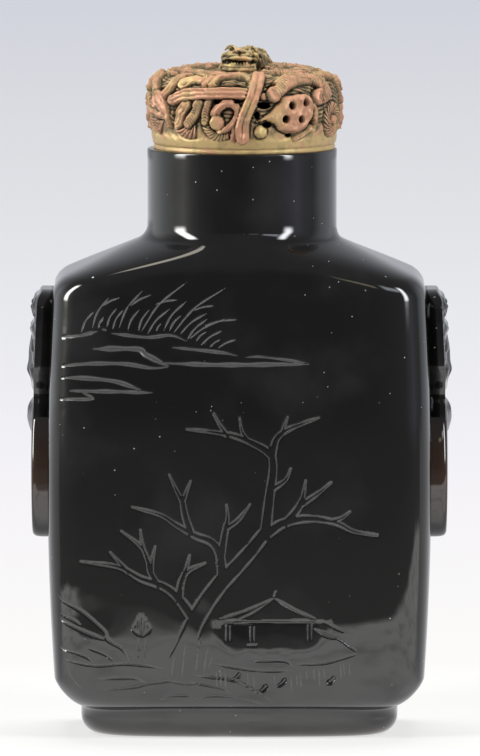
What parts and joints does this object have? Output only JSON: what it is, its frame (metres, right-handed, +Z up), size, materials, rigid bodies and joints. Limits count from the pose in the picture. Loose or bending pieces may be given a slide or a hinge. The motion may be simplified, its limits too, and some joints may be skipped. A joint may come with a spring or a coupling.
{
  "type": "snuff bottle",
  "caption": "Flattened snuff bottle of near-black glass with a cut landscape, carved mask-and-ring handles, a low foot and a pierced cast stopper with a dragon.",
  "frame": {"origin": "middle of the underside of the foot", "axes": "+Z up along the bottle, the landscape faces -Y, +X to the right of someone looking at the landscape"},
  "size_m": [0.0426, 0.0246, 0.07],
  "materials": {
    "black_glass": "polished, near-black and opaque, cut lines matte grey",
    "cast_metal": "worn copper-coloured casting with gilt rim and dark patina in the recesses"
  },
  "bodies": {
    "root": {"bottle": "black_glass", "stopper": "cast_metal"}
  },
  "joints": []
}
